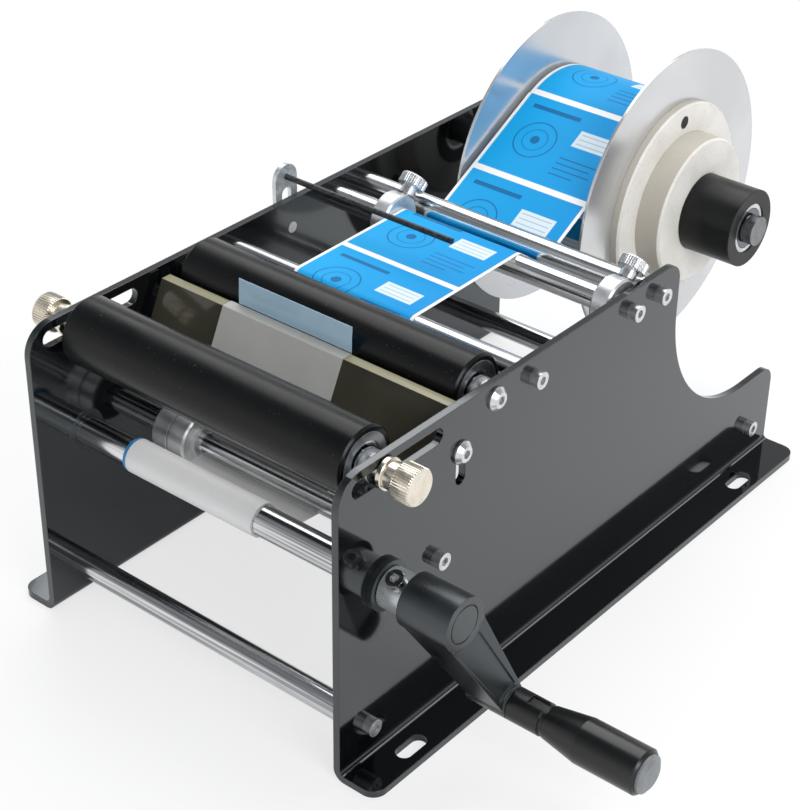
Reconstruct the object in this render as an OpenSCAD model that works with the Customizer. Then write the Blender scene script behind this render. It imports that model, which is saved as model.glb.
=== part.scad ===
// Manual bottle labelling machine: two folded side plates joined by round rods,
// a hand crank that winds up the label liner, two rubber rollers that carry the
// bottle, a peel plate between them and a flanged reel for the label roll.
// Millimetres. X runs across the machine towards the crank, Y to the rear, Z up.
// The origin is on the table, under the middle of the side plates.
// Lengths called _y are measured from the plates' front edge.

/* [Side plates] */
// Length of a side plate, front edge to rear edge
plate_l = 296; // [268:1:324]
// Height of a side plate above the table
plate_h = 131; // [120:0.5:146]
// Sheet thickness of the side plates
plate_t = 3; // [2.5:0.1:3.4]
// Clear width between the two side plates
inner_w = 150; // [148:0.5:153]
// Width of the foot flange, from the plate's inner face
flange_w = 20; // [19:0.5:23]
// Length of a fixing slot in the foot flange
slot_l = 15; // [12:0.5:18]
// Width of a fixing slot in the foot flange
slot_w = 6.5; // [5.5:0.1:7]
// Distance from the front edge to the first fixing slot
slot_front_y = 29; // [24:1:36]
// Distance from the rear edge to the second fixing slot
slot_rear_y = 38; // [33:1:45]
// Radius of the reel notch in the right plate
notch_r = 64.6; // [61:0.2:65]

/* [Rods] */
// Diameter of the round rods
rod_d = 10; // [9.2:0.2:10.4]
// Thread diameter of the screws in the rod ends
rod_screw_d = 4; // [3.6:0.1:4.6]
// Head diameter of the rod screws
head_d = 7; // [6.6:0.1:8]
// Head height of the rod screws
head_h = 4; // [3.4:0.1:5]
// Thread diameter of the button-head screws
screw_d = 5; // [4.2:0.1:5.2]
// Outer diameter of the label guides and the liner collar
guide_d = 22; // [20:0.5:22.5]

/* [Rollers] */
// Outer diameter of the rubber rollers
roller_d = 27.8; // [26.6:0.2:28]
// Thickness of the rubber sleeve
rubber_t = 2.5; // [2:0.1:3]
// Diameter of the roller axles
axle_d = 8; // [7.4:0.1:8.4]
// Distance from the front edge to the front roller's axis
front_y = 24.5; // [24:0.5:27]
// Distance from the front edge to the rear roller's axis
rear_y = 86.5; // [86.5:0.1:87.5]
// Diameter of the knurled knobs on the front axle
knob_d = 14.5; // [14:0.5:18]

/* [Peel plate] */
// Thickness of the acrylic peel plate
peel_t = 4; // [3:0.1:4.2]
// Length of the peel plate along its lean
peel_len = 34; // [31:0.5:34.5]
// Lean of the peel plate from upright
peel_lean = 25.5; // [24:0.5:27]

/* [Crank] */
// Diameter of the crank shaft
shaft_d = 12; // [10.6:0.2:12.4]
// Distance from the crank shaft to the handle
crank_r = 50.5; // [46:0.5:56]
// Diameter of the handle grip
grip_d = 18; // [16:0.5:20]
// Outer diameter of the wound-up liner
takeup_d = 14; // [13.6:0.2:17]

/* [Reel] */
// Diameter of the reel discs
disc_d = 136; // [126:1:138]
// Thickness of the reel discs
disc_t = 1.2; // [1:0.1:1.5]
// Diameter of the full label roll
roll_d = 89; // [84:1:90]
// Diameter of the black mandrel
mandrel_d = 34.4; // [32:0.2:36]

/* [Web] */
// Width of the label liner
web_w = 61; // [58:0.5:61]
// Thickness of the liner with its labels, drawn heavier than the paper
web_t = 0.3; // [0.2:0.05:0.35]
// Height of the label that stands out over the peel edge
label_out = 10.8; // [8:0.2:12]

/* [Hidden] */
$fn = 64;
small_fn = 32;
cut = 1;

// Clearances
run_gap = 0.05;
clear = 0.3;
seat_gap = 0.06;
slide_gap = 0.15;
hole_gap = 0.25;

// Side plates
x_in = inner_w / 2;
x_out = x_in + plate_t;
x_foot = x_in + flange_w;
bend_r = 5;
front_corner_r = 12;
foot_corner_r = 6;
rear_corner_r = 8;
notch_in = [24, 24];
notch_y = plate_l - notch_in[0];
notch_z = plate_h - notch_in[1];
notch_front_y = notch_y - notch_r;
foot_slot_in = 13;
foot_slot_x = x_in + foot_slot_in;
function fy(y) = y - plate_l / 2;

// Rods at the front are placed from the front edge, those at the rear from the rear
// edge; the tie rods keep their height, all others their distance from the top edge
tie_front = [15.6, 17.3];
tie_rear_in = [18.4, 18];
liner_in = [54, 60];
feed_in = [109.8, 9];
upper_in = [103.5, 9];
guide_in = [122.5, 8.4];
function from_front(p) = [p[0], plate_h - p[1]];
function from_rear(p) = [plate_l - p[0], plate_h - p[1]];
tie_rear = [plate_l - tie_rear_in[0], tie_rear_in[1]];
liner_at = from_front(liner_in);
feed_at = from_front(feed_in);
upper_at = from_rear(upper_in);
guide_at = from_rear(guide_in);
rods_at = [tie_front, tie_rear, liner_at, feed_at, guide_at, upper_at];
rod_r = rod_d / 2;
rod_screw_r = rod_screw_d / 2;
screw_r = screw_d / 2;
screw_grip = 12;
hex_r = 1.8;
hex_depth = 2;
button_r = 4.75;
button_h = 2.6;
button_top_r = 3.1;

// Rollers
axle_down = 7;
axle_z = plate_h - axle_down;
axle_r = axle_d / 2;
roller_r = roller_d / 2;
core_r = roller_r - rubber_t;
bearing_r = 8;
bearing_w = 5;
bearing_sink = 0.5;
roller_side = 6;
roller_x = x_in - roller_side;
roller_edge = 0.8;
axle_shoulder_r = 6;
stud_r = 3;
axle_slot_front = 7;
axle_slot_rear = 56;
axle_slot_h = 7;
knob_washer_r = 6.3;
knob_washer_l = 2.2;
knob_neck_r = 5.3;
knob_neck_l = 7.2;
knob_l = 8;
knob_edge = 0.9;
stud_l = 5.5;

// Peel plate: edge, directions down along the plate and out of its rear face
peel_edge_in = [71, 3.4];
peel_edge = from_front(peel_edge_in);
peel_side = 3;
peel_x = x_in - peel_side;
peel_down = [-sin(peel_lean), -cos(peel_lean)];
peel_rear = [cos(peel_lean), -sin(peel_lean)];
peel_bevel = peel_t * tan(peel_lean);
peel_screw_down = 17.1;
peel_screw_back = 3.4;
peel_screw_at = peel_edge + peel_screw_down * peel_down + peel_screw_back * peel_rear;
peel_travel = 11;
block_l = 17;
block_x = x_in - block_l;
block_t = 7.2;
block_up = 6.5;
block_low = 9;

// Crank
crank_in = [24.5, 54.5];
crank_at = from_front(crank_in);
crank_turn = -64.2;
shaft_r = shaft_d / 2;
crank_way = [cos(crank_turn), sin(crank_turn)];
crank_side = [-crank_way[1], crank_way[0]];
tip_at = crank_at + crank_r * crank_way;
bush_wall = 2.5;
bush_r = shaft_r + bush_wall;
bush_rim = 4;
bush_flange_r = shaft_r + bush_rim;
bush_flange_t = 2.5;
clip_t = 1.2;
clip_depth = 0.5;
clip_rim = 2.2;
shaft_end = 2.5;
takeup_x0 = -46;
takeup_x1 = 19.5;
sleeve_wall = 2;
sleeve_r = shaft_r + sleeve_wall;
sleeve_l = 11.2;
sleeve_x0 = x_out + bush_flange_t + clear;
sleeve_x1 = sleeve_x0 + sleeve_l;
sleeve_slit = 1.2;
clamp_lean = 30;
clamp_in = 4.5;
clamp_r = 2;
clamp_head_r = 3.5;
clamp_head_h = 4;
hub_r = 10.5;
hub_l = 22;
hub_x1 = sleeve_x1 + hub_l;
hub_floor = 5;
hub_ring_r = 7.6;
hub_ring_w = 0.5;
hub_ring_depth = 0.6;
arm_taper = 12;
arm_x0 = sleeve_x1 + arm_taper;
tip_r = 6.5;
tip_rise = 7.3;
tip_x1 = hub_x1 + tip_rise;
arm_recess = 0.8;
arm_step = 0.4;
arm_sink = 0.7;
arm_fold = hub_r - 2 * arm_sink;
arm_tip_d = crank_r - tip_r / 2;
recess_hub_r = 6.2;
recess_tip_r = 4.7;
recess_shift = 1.8;
recess_end = 0.6;
spindle_r = 4;
spindle_in = 2;
grip_r = grip_d / 2;
grip_neck_r = 6.5;
grip_neck_l = 15.7;
grip_cone_l = 15;
grip_l = 25.7;
grip_x0 = tip_x1 + clear;
grip_neck_x = grip_x0 + grip_neck_l;
grip_wide_x = grip_neck_x + grip_cone_l;
grip_x1 = grip_wide_x + grip_l;
spindle_x1 = grip_x1 - spindle_in;
grip_notch_w = 2;
grip_notch_d = 0.7;
grip_slot = [7, 4.5, 1.2];
grip_edge = 1;
grip_cap_t = 2.4;
grip_cap_rim = 1.6;
grip_cap_r = grip_r - grip_cap_rim;
grip_cap_edge = 2;

// Reel
reel_in = [14, 19];
reel_at = from_rear(reel_in);
disc_r = disc_d / 2;
roll_r = roll_d / 2;
mandrel_r = mandrel_d / 2;
mandrel_x0 = -58;
mandrel_x1 = 66;
mandrel_bore_r = 9;
reel_bearing_r = 11;
reel_bearing_w = 7;
reel_bearing_sink = 0.5;
reel_shaft_r = 4;
reel_shoulder_r = 7;
reel_head_r = 6.5;
reel_head_h = 4.2;
reel_nut_r = 7.5;
reel_nut_h = 6.5;
left_disc_x = -41.7;
right_disc_x = 24;
hub_flange_r = 45.7;
hub_flange_t = 4;
hub_boss_r = 32.8;
hub_boss_l = 12;
hub_edge = 1;
hub_screw_r = 1.5;
hub_screw_head_r = 2.8;
hub_screw_head_h = 1.6;
hub_screw_at = 38.5;
core_t = 3.3;
core_extra = 0.25;

// Web
web_x1 = 22.4;
web_x0 = web_x1 - web_w;
label_in = 4;
label_x0 = web_x0 + label_in;
label_x1 = web_x1;
edge_r = 0.3;
edge_in = 0.2;
web_steps = 10;

// Guides and collars
liner_collar_x = [-58.5, -41];
liner_collar_boss = [6.5, 2];
collar_groove_w = 0.8;
collar_groove_d = 1.5;
guide_w = 8;
guide_side = 2.2;
guide_left_x = web_x0 - clear - guide_w;
guide_right_x = x_in - guide_side - guide_w;
guide_edge = 0.8;
thumb_lean = 48;
thumb_r = 2;
thumb_neck_r = 3.5;
thumb_neck_l = 3.6;
thumb_head_r = 6;
thumb_head_h = 5;

// Wire finger
finger_share = 0.5683;
finger_y = feed_at[0] + finger_share * (guide_at[0] - feed_at[0]);
finger_w = 13;
finger_t = 2;
finger_low = 27;
finger_top = 15;
finger_slot_low = 19;
finger_slot_top = 4.5;
finger_slot_w = 5.6;
finger_screw_low = 13;
finger_z0 = plate_h - finger_low;
finger_z1 = plate_h + finger_top;
finger_slot = [plate_h - finger_slot_low, plate_h + finger_slot_top];
finger_screw_z = plate_h - finger_screw_low;
wire_r = 1.25;
wire_top = 9.5;
wire_z = plate_h + wire_top;
wire_x1 = 10;

// Points of a strip of thickness t along a centre line
function left_of(v) = [-v[1], v[0]] / norm(v);
function joint_normal(p, i) =
    let (n = len(p) - 1,
         a = left_of(p[max(i, 1)] - p[max(i, 1) - 1]),
         b = left_of(p[min(i, n - 1) + 1] - p[min(i, n - 1)]))
    (a + b) / (1 + a * b);
function strip(p, t) = concat(
    [for (i = [0 : len(p) - 1]) p[i] + joint_normal(p, i) * t / 2],
    [for (i = [len(p) - 1 : -1 : 0]) p[i] - joint_normal(p, i) * t / 2]);

// A web runs over a list of turns [centre, radius]: the radius is positive where
// the centre lies to the left of the web and negative where it lies to the right
function heading(a, b) =
    let (d = b[0] - a[0], h = atan2(d[1], d[0]))
    (h < 0 ? h + 360 : h) - asin((b[1] - a[1]) / norm(d));
function touch(turn, h) = turn[0] - turn[1] * [-sin(h), cos(h)];
function turn_points(turn, h0, h1) =
    [for (i = [0 : web_steps]) touch(turn, h0 + (h1 - h0) * i / web_steps)];

rod_turn = rod_r + seat_gap + web_t / 2;
edge_turn = edge_r + web_t / 2;
peel_front = peel_edge - peel_t * peel_rear;
turn_roll = [reel_at, roll_r + clear + web_t / 2];
turn_upper = [upper_at, -rod_turn];
turn_guide = [guide_at, rod_turn];
turn_feed = [feed_at, rod_turn];
turn_rear = [[rear_y, axle_z], -(roller_r + clear + web_t / 2)];
turn_edge = [peel_edge - [edge_in, edge_in], edge_turn];
turn_top = [peel_front + (peel_bevel + edge_in) * peel_down + edge_in * peel_rear, edge_turn];
turn_low = [peel_front + (peel_len - edge_in) * peel_down + edge_in * peel_rear, edge_turn];
turn_liner = [liner_at, -rod_turn];
turn_takeup = [crank_at, -(takeup_d / 2 + clear + web_t / 2)];

h_roll = heading(turn_roll, turn_upper);
h_upper = heading(turn_upper, turn_guide);
h_guide = heading(turn_guide, turn_feed);
h_feed = heading(turn_feed, turn_rear);
h_rear = heading(turn_rear, turn_edge);
h_edge = heading(turn_edge, turn_top);
h_top = heading(turn_top, turn_low);
h_low = heading(turn_low, turn_liner);
h_liner = heading(turn_liner, turn_takeup);

label_path = concat(
    [touch(turn_roll, h_roll)],
    turn_points(turn_upper, h_roll, h_upper),
    turn_points(turn_guide, h_upper, h_guide),
    turn_points(turn_feed, h_guide, h_feed),
    turn_points(turn_rear, h_feed, h_rear));
peel_path = concat(
    [touch(turn_rear, h_rear)],
    turn_points(turn_edge, h_rear, h_edge),
    turn_points(turn_top, h_edge, h_top),
    turn_points(turn_low, h_top, h_low),
    [touch(turn_liner, h_low)]);
liner_path = concat(
    turn_points(turn_liner, h_low, h_liner),
    [touch(turn_takeup, h_liner)]);

// Turned and extruded helpers: solids along X, and shapes drawn in Y and Z
module rod_x(r, x0, x1, at) {
    translate([x0, fy(at[0]), at[1]])
        rotate([0, 90, 0])
            cylinder(r = r, h = x1 - x0);
}

module turned(points, at) {
    translate([0, fy(at[0]), at[1]])
        rotate([0, 90, 0])
            rotate_extrude()
                polygon(points);
}

module drawn_yz(x0, x1) {
    translate([x0, fy(0), 0])
        rotate([90, 0, 90])
            linear_extrude(height = x1 - x0)
                children();
}

module slot_2d(length, width) {
    square([length - width, width], center = true);
    for (s = [-1, 1])
        translate([s * (length - width) / 2, 0])
            circle(d = width);
}

module corner_2d(r) {
    difference() {
        translate([-cut, -cut])
            square(r + cut);
        translate([r, r])
            circle(r = r);
    }
}

// One side plate, drawn for the right side
module plate_section() {
    translate([x_in, bend_r])
        square([plate_t, plate_h - bend_r]);
    translate([x_in + bend_r, 0])
        square([flange_w - bend_r, plate_t]);
    translate([x_in + bend_r, bend_r])
        intersection() {
            difference() {
                circle(r = bend_r);
                circle(r = bend_r - plate_t);
            }
            translate([-bend_r, -bend_r])
                square(bend_r);
        }
}

module plate_sheet() {
    translate([0, plate_l / 2, 0])
        rotate([90, 0, 0])
            linear_extrude(height = plate_l)
                plate_section();
}

module foot_cuts() {
    for (y = [slot_front_y, plate_l - slot_rear_y])
        translate([foot_slot_x, fy(y), -cut])
            linear_extrude(height = plate_t + 2 * cut)
                rotate(90)
                    slot_2d(slot_l, slot_w);
    for (s = [-1, 1])
        translate([x_foot, s * plate_l / 2, -cut])
            linear_extrude(height = plate_t + 2 * cut)
                mirror([1, 0])
                    mirror([0, s > 0 ? 1 : 0])
                        corner_2d(foot_corner_r);
}

module side_holes_2d() {
    for (at = rods_at)
        translate(at)
            circle(r = rod_screw_r + hole_gap, $fn = small_fn);
    translate([rear_y, axle_z])
        circle(r = screw_r + hole_gap, $fn = small_fn);
    translate(crank_at)
        circle(r = bush_r);
    translate([(axle_slot_front + axle_slot_rear) / 2, axle_z])
        slot_2d(axle_slot_rear - axle_slot_front, axle_slot_h);
    translate(peel_screw_at - [0, peel_travel / 2])
        rotate(90)
            slot_2d(peel_travel + 2 * hole_gap + screw_d + 2 * hole_gap,
                screw_d + 2 * hole_gap);
    translate([0, plate_h])
        mirror([0, 1])
            corner_2d(front_corner_r);
}

module notch_2d() {
    far = plate_l - notch_front_y + cut;
    translate([notch_y, notch_z])
        circle(r = notch_r, $fn = 128);
    translate([notch_front_y, notch_z])
        square([far, plate_h]);
    translate([notch_y, notch_z - notch_r])
        square([far, plate_h]);
    translate([notch_front_y, plate_h])
        mirror([1, 0])
            mirror([0, 1])
                corner_2d(rear_corner_r);
    translate([plate_l, notch_z - notch_r])
        mirror([1, 0])
            mirror([0, 1])
                corner_2d(rear_corner_r);
}

module right_side_plate() {
    color("#1b1c1e")
        difference() {
            plate_sheet();
            foot_cuts();
            drawn_yz(x_in - cut, x_out + cut) {
                side_holes_2d();
                notch_2d();
            }
        }
}

module left_side_plate() {
    color("#1b1c1e")
        mirror([1, 0, 0])
            difference() {
                plate_sheet();
                foot_cuts();
                drawn_yz(x_in - cut, x_out + cut) {
                    side_holes_2d();
                    translate(reel_at)
                        circle(r = reel_shaft_r + hole_gap);
                    translate([finger_y, finger_screw_z])
                        circle(r = screw_r, $fn = small_fn);
                    translate([plate_l, plate_h])
                        mirror([1, 0])
                            mirror([0, 1])
                                corner_2d(front_corner_r);
                }
            }
}

// Rods with a tapped hole in each end, and their screws
module round_rod(at) {
    color("#c9ccd0")
        difference() {
            rod_x(rod_r, -x_in, x_in, at);
            for (s = [0, 1])
                mirror([s, 0, 0])
                    rod_x(rod_screw_r, x_in - screw_grip, x_in + cut, at, $fn = small_fn);
        }
}

module front_tie_rod() {
    round_rod(tie_front);
}

module rear_tie_rod() {
    round_rod(tie_rear);
}

module liner_rod() {
    round_rod(liner_at);
}

module feed_rod() {
    round_rod(feed_at);
}

module guide_rod() {
    round_rod(guide_at);
}

module upper_rod() {
    round_rod(upper_at);
}

module hex_socket(x, at) {
    translate([x - hex_depth, fy(at[0]), at[1]])
        rotate([0, 90, 0])
            cylinder(r = hex_r, h = hex_depth + cut, $fn = 6);
}

module cap_screw(at) {
    rod_x(rod_screw_r, x_in - screw_grip, x_out, at, $fn = small_fn);
    difference() {
        rod_x(head_d / 2, x_out, x_out + head_h, at, $fn = small_fn);
        hex_socket(x_out + head_h, at);
    }
}

module rod_screws() {
    color("#8f9296")
        for (s = [0, 1])
            mirror([s, 0, 0])
                for (at = rods_at)
                    cap_screw(at);
}

module button_screw(at, x_end, x_face) {
    rod_x(screw_r, x_end, x_face, at, $fn = small_fn);
    difference() {
        turned([[0, x_face], [button_r, x_face], [button_r, x_face + button_h / 3],
            [button_top_r, x_face + button_h], [0, x_face + button_h]], at);
        hex_socket(x_face + button_h, at);
    }
}

// Collars and guides that slide along the rods
module liner_collar() {
    middle = (liner_collar_x[0] + liner_collar_x[1]) / 2;
    bore = rod_r + run_gap;
    r = guide_d / 2;
    low = r - collar_groove_d;
    g0 = middle - collar_groove_w / 2;
    g1 = middle + collar_groove_w / 2;
    boss_x = liner_collar_x[1] + liner_collar_boss[1];
    color("#b9bcbf")
        turned([[bore, liner_collar_x[0]], [r - guide_edge, liner_collar_x[0]],
            [r, liner_collar_x[0] + guide_edge], [r, g0], [low, g0], [low, g1], [r, g1],
            [r, liner_collar_x[1] - guide_edge], [r - guide_edge, liner_collar_x[1]],
            [liner_collar_boss[0], liner_collar_x[1]], [liner_collar_boss[0], boss_x],
            [bore, boss_x]], liner_at);
}

// A label guide is locked by a thumb screw that leans to the rear
module thumb_place(x0) {
    translate([x0 + guide_w / 2, fy(guide_at[0]), guide_at[1]])
        rotate([-thumb_lean, 0, 0])
            children();
}

module label_guide(x0) {
    bore = rod_r + run_gap;
    r = guide_d / 2;
    x1 = x0 + guide_w;
    color("#c4c7c9")
        difference() {
            turned([[bore, x0], [r - guide_edge, x0], [r, x0 + guide_edge],
                [r, x1 - guide_edge], [r - guide_edge, x1], [bore, x1]], guide_at);
            thumb_place(x0)
                cylinder(r = thumb_r + run_gap, h = r + cut, $fn = small_fn);
        }
}

module thumb_screw(x0) {
    tip = rod_r + clear;
    neck = guide_d / 2 + clear;
    head = neck + thumb_neck_l;
    color("#b8ae9a")
        thumb_place(x0) {
            translate([0, 0, tip])
                cylinder(r = thumb_r, h = neck - tip, $fn = small_fn);
            translate([0, 0, neck])
                cylinder(r = thumb_neck_r, h = thumb_neck_l, $fn = small_fn);
            translate([0, 0, head])
                cylinder(r = thumb_head_r, h = thumb_head_h);
        }
}

module label_guide_left() {
    label_guide(guide_left_x);
}

module label_guide_right() {
    label_guide(guide_right_x);
}

module thumb_screw_left() {
    thumb_screw(guide_left_x);
}

module thumb_screw_right() {
    thumb_screw(guide_right_x);
}

// Rubber rollers on ball bearings
module roller_core(at) {
    color("#8b8e91")
        difference() {
            rod_x(core_r, -roller_x, roller_x, at);
            rod_x(bearing_r, -roller_x - cut, roller_x + cut, at);
        }
}

module roller_sleeve(at) {
    color("#222426")
        turned([[core_r, -roller_x], [roller_r - roller_edge, -roller_x],
            [roller_r, roller_edge - roller_x], [roller_r, roller_x - roller_edge],
            [roller_r - roller_edge, roller_x], [core_r, roller_x]], at);
}

module roller_bearings(at) {
    x1 = roller_x - bearing_sink;
    color("#d0d2d4")
        for (s = [0, 1])
            mirror([s, 0, 0])
                difference() {
                    rod_x(bearing_r, x1 - bearing_w, x1, at);
                    rod_x(axle_r + run_gap, x1 - bearing_w - cut, x1 + cut, at);
                }
}

module rear_roller_core() {
    roller_core([rear_y, axle_z]);
}

module rear_roller_sleeve() {
    roller_sleeve([rear_y, axle_z]);
}

module rear_roller_bearings() {
    roller_bearings([rear_y, axle_z]);
}

module rear_axle() {
    at = [rear_y, axle_z];
    color("#9a9da0")
        difference() {
            union() {
                rod_x(axle_r, -x_in, x_in, at);
                for (s = [0, 1])
                    mirror([s, 0, 0])
                        rod_x(axle_shoulder_r, roller_x + clear, x_in, at);
            }
            for (s = [0, 1])
                mirror([s, 0, 0])
                    rod_x(screw_r, x_in - screw_grip, x_in + cut, at, $fn = small_fn);
        }
}

module rear_axle_screws() {
    color("#b4b7ba")
        for (s = [0, 1])
            mirror([s, 0, 0])
                button_screw([rear_y, axle_z], x_in - screw_grip, x_out);
}

module front_roller_core() {
    roller_core([front_y, axle_z]);
}

module front_roller_sleeve() {
    roller_sleeve([front_y, axle_z]);
}

module front_roller_bearings() {
    roller_bearings([front_y, axle_z]);
}

module front_axle() {
    at = [front_y, axle_z];
    x_end = x_out + knob_neck_l + stud_l;
    color("#9a9da0") {
        rod_x(axle_r, clear - x_in, x_in - clear, at);
        for (s = [0, 1])
            mirror([s, 0, 0]) {
                rod_x(axle_shoulder_r, roller_x + clear, x_in - clear, at);
                rod_x(stud_r, x_in - clear, x_end, at);
            }
    }
}

module knob() {
    x0 = x_out + clear;
    x1 = x_out + knob_neck_l;
    x2 = x1 + knob_l;
    r = knob_d / 2;
    bore = stud_r + run_gap;
    x_bore = x1 + stud_l + clear;
    turned([[bore, x0], [knob_washer_r, x0], [knob_washer_r, x0 + knob_washer_l],
        [knob_neck_r, x0 + knob_washer_l], [knob_neck_r, x1], [r - knob_edge, x1], [r, x1 + knob_edge],
        [r, x2 - knob_edge], [r - knob_edge, x2], [0, x2],
        [0, x_bore], [bore, x_bore]], [front_y, axle_z]);
}

module knob_right() {
    color("#b8ae9a")
        knob();
}

module knob_left() {
    color("#b8ae9a")
        mirror([1, 0, 0])
            knob();
}

// Peel plate, the blocks that carry it and their screws
module peel_plate() {
    color("#3a3b35")
        drawn_yz(-peel_x, peel_x)
            polygon([peel_edge, peel_edge + peel_len * peel_down,
                peel_front + peel_len * peel_down, peel_front + peel_bevel * peel_down]);
}

module peel_blocks() {
    top = peel_edge + (peel_screw_down - block_up) * peel_down;
    low = peel_edge + (peel_screw_down + block_low) * peel_down;
    color("#a9acaf")
        for (s = [0, 1])
            mirror([s, 0, 0])
                difference() {
                    drawn_yz(block_x, x_in - clear)
                        polygon([top, low, low + block_t * peel_rear, top + block_t * peel_rear]);
                    rod_x(screw_r, x_in - screw_grip, x_in + cut, peel_screw_at, $fn = small_fn);
                }
}

module peel_screws() {
    color("#c2c5c8")
        for (s = [0, 1])
            mirror([s, 0, 0])
                button_screw(peel_screw_at, x_in - screw_grip, x_out + slide_gap);
}

// Crank shaft with the wound-up liner, clamp sleeve, arm and handle
module crank_shaft() {
    clip_x = -x_out - bush_flange_t - clear;
    color("#c9ccd0")
        difference() {
            rod_x(shaft_r, clip_x - clip_t - shaft_end, hub_x1 - hub_floor, crank_at);
            difference() {
                rod_x(shaft_r + cut, clip_x - clip_t, clip_x, crank_at);
                rod_x(shaft_r - clip_depth, clip_x - clip_t - cut, clip_x + cut, crank_at);
            }
        }
}

module shaft_clip() {
    clip_x = -x_out - bush_flange_t - clear;
    color("#3a3b3d")
        difference() {
            rod_x(shaft_r + clip_rim, clip_x - clip_t, clip_x, crank_at);
            rod_x(shaft_r - clip_depth, clip_x - clip_t - cut, clip_x + cut, crank_at);
        }
}

module shaft_bushes() {
    color("#202122")
        for (s = [0, 1])
            mirror([s, 0, 0])
                difference() {
                    union() {
                        rod_x(bush_flange_r, x_out, x_out + bush_flange_t, crank_at);
                        rod_x(bush_r, x_in, x_out, crank_at);
                    }
                    rod_x(shaft_r + run_gap, x_in - cut, x_out + bush_flange_t + cut, crank_at);
                }
}

module takeup_roll() {
    color("#dcdbd7")
        difference() {
            rod_x(takeup_d / 2, takeup_x0, takeup_x1, crank_at);
            rod_x(shaft_r, takeup_x0 - cut, takeup_x1 + cut, crank_at);
        }
}

module clamp_place() {
    translate([sleeve_x1 - clamp_in, fy(crank_at[0]), crank_at[1]])
        rotate([clamp_lean, 0, 0])
            children();
}

module clamp_sleeve() {
    color("#b9c0c4")
        difference() {
            rod_x(sleeve_r, sleeve_x0, sleeve_x1, crank_at);
            rod_x(shaft_r, sleeve_x0 - cut, sleeve_x1 + cut, crank_at);
            clamp_place()
                cylinder(r = clamp_r, h = sleeve_r + cut, $fn = small_fn);
            translate([sleeve_x0 - cut, fy(crank_at[0]) - sleeve_slit / 2, crank_at[1] - sleeve_r - cut])
                cube([sleeve_l + 2 * cut, sleeve_slit, sleeve_r]);
        }
}

module clamp_screw() {
    color("#c2c5c8")
        clamp_place()
            difference() {
                union() {
                    translate([0, 0, shaft_r])
                        cylinder(r = clamp_r, h = sleeve_wall, $fn = small_fn);
                    translate([0, 0, sleeve_r])
                        cylinder(r = clamp_head_r, h = clamp_head_h, $fn = small_fn);
                }
                translate([0, 0, sleeve_r + clamp_head_h - hex_depth])
                    cylinder(r = hex_r, h = hex_depth + cut, $fn = 6);
            }
}

// The arm's four corners lie inside the hub and the tip boss
module arm_2d() {
    near = (hub_r - arm_sink) * crank_side;
    far = (tip_r - arm_sink) * crank_side;
    polygon([crank_at + near, crank_at - near, tip_at - far, tip_at + far]);
}

module recess_2d() {
    near = crank_at + (hub_r + recess_end) * crank_way - recess_shift * crank_side;
    far = tip_at - (tip_r + recess_end) * crank_way;
    polygon([near + recess_hub_r * crank_side, near - recess_hub_r * crank_side,
        far - recess_tip_r * crank_side, far + recess_tip_r * crank_side]);
}

// A side profile, given as places along X and along the arm, drawn across the arm
module across_arm(points) {
    translate([0, fy(crank_at[0]), crank_at[1]])
        rotate([crank_turn, 0, 0])
            translate([0, 0, -hub_r - cut])
                linear_extrude(height = 2 * (hub_r + cut))
                    polygon(points);
}

// The outer face leans out from the hub to the tip, at a distance d along the arm
function arm_face(d) = hub_x1 - arm_step + tip_rise * (d - arm_fold) / (arm_tip_d - arm_fold);

module arm_body() {
    far = crank_r + arm_step;
    intersection() {
        drawn_yz(sleeve_x1, tip_x1)
            arm_2d();
        across_arm([[sleeve_x1 + arm_step, -arm_step], [sleeve_x1 + arm_step, hub_r / 2],
            [arm_x0, arm_tip_d], [arm_x0, far], [arm_face(arm_tip_d), far],
            [arm_face(arm_tip_d), arm_tip_d], [arm_face(arm_fold), arm_fold],
            [arm_face(arm_fold), -arm_step]]);
    }
}

module arm_hollow() {
    intersection() {
        drawn_yz(sleeve_x1, tip_x1 + arm_step)
            recess_2d();
        across_arm([[arm_face(hub_r) - arm_recess, hub_r], [arm_face(crank_r) - arm_recess, crank_r],
            [tip_x1 + 2 * arm_step, crank_r], [tip_x1 + 2 * arm_step, hub_r]]);
    }
}

module crank_arm() {
    color("#26282a")
        difference() {
            union() {
                rod_x(hub_r, sleeve_x1, hub_x1, crank_at);
                arm_body();
                rod_x(tip_r, arm_x0 - arm_step, tip_x1, tip_at);
            }
            arm_hollow();
            difference() {
                rod_x(hub_ring_r, hub_x1 - hub_ring_depth, hub_x1 + cut, crank_at);
                rod_x(hub_ring_r - hub_ring_w, hub_x1 - 2 * cut, hub_x1 + 2 * cut, crank_at);
            }
            rod_x(shaft_r, sleeve_x1 - cut, hub_x1 - hub_floor, crank_at);
            rod_x(spindle_r, arm_x0 + cut, tip_x1 + cut, tip_at);
        }
}

module handle_spindle() {
    color("#8f9296")
        rod_x(spindle_r, arm_x0 + cut, spindle_x1, tip_at);
}

module handle_grip() {
    bore = spindle_r + run_gap;
    groove = grip_neck_r - grip_notch_d;
    x_bore = spindle_x1 + clear;
    color("#17181a")
        difference() {
            turned([[bore, grip_x0], [grip_neck_r, grip_x0], [grip_neck_r, grip_neck_x - grip_notch_w],
                [groove, grip_neck_x - grip_notch_w], [groove, grip_neck_x], [grip_neck_r, grip_neck_x],
                [grip_r, grip_wide_x], [grip_r, grip_x1 - grip_edge], [grip_r - grip_edge, grip_x1],
                [0, grip_x1], [0, x_bore], [bore, x_bore]], tip_at);
            translate([grip_neck_x - grip_notch_w - grip_slot[0], fy(tip_at[0]) - grip_slot[1] / 2,
                tip_at[1] + grip_neck_r - grip_slot[2]])
                cube([grip_slot[0] + grip_notch_w / 2, grip_slot[1], grip_neck_r]);
        }
}

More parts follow.
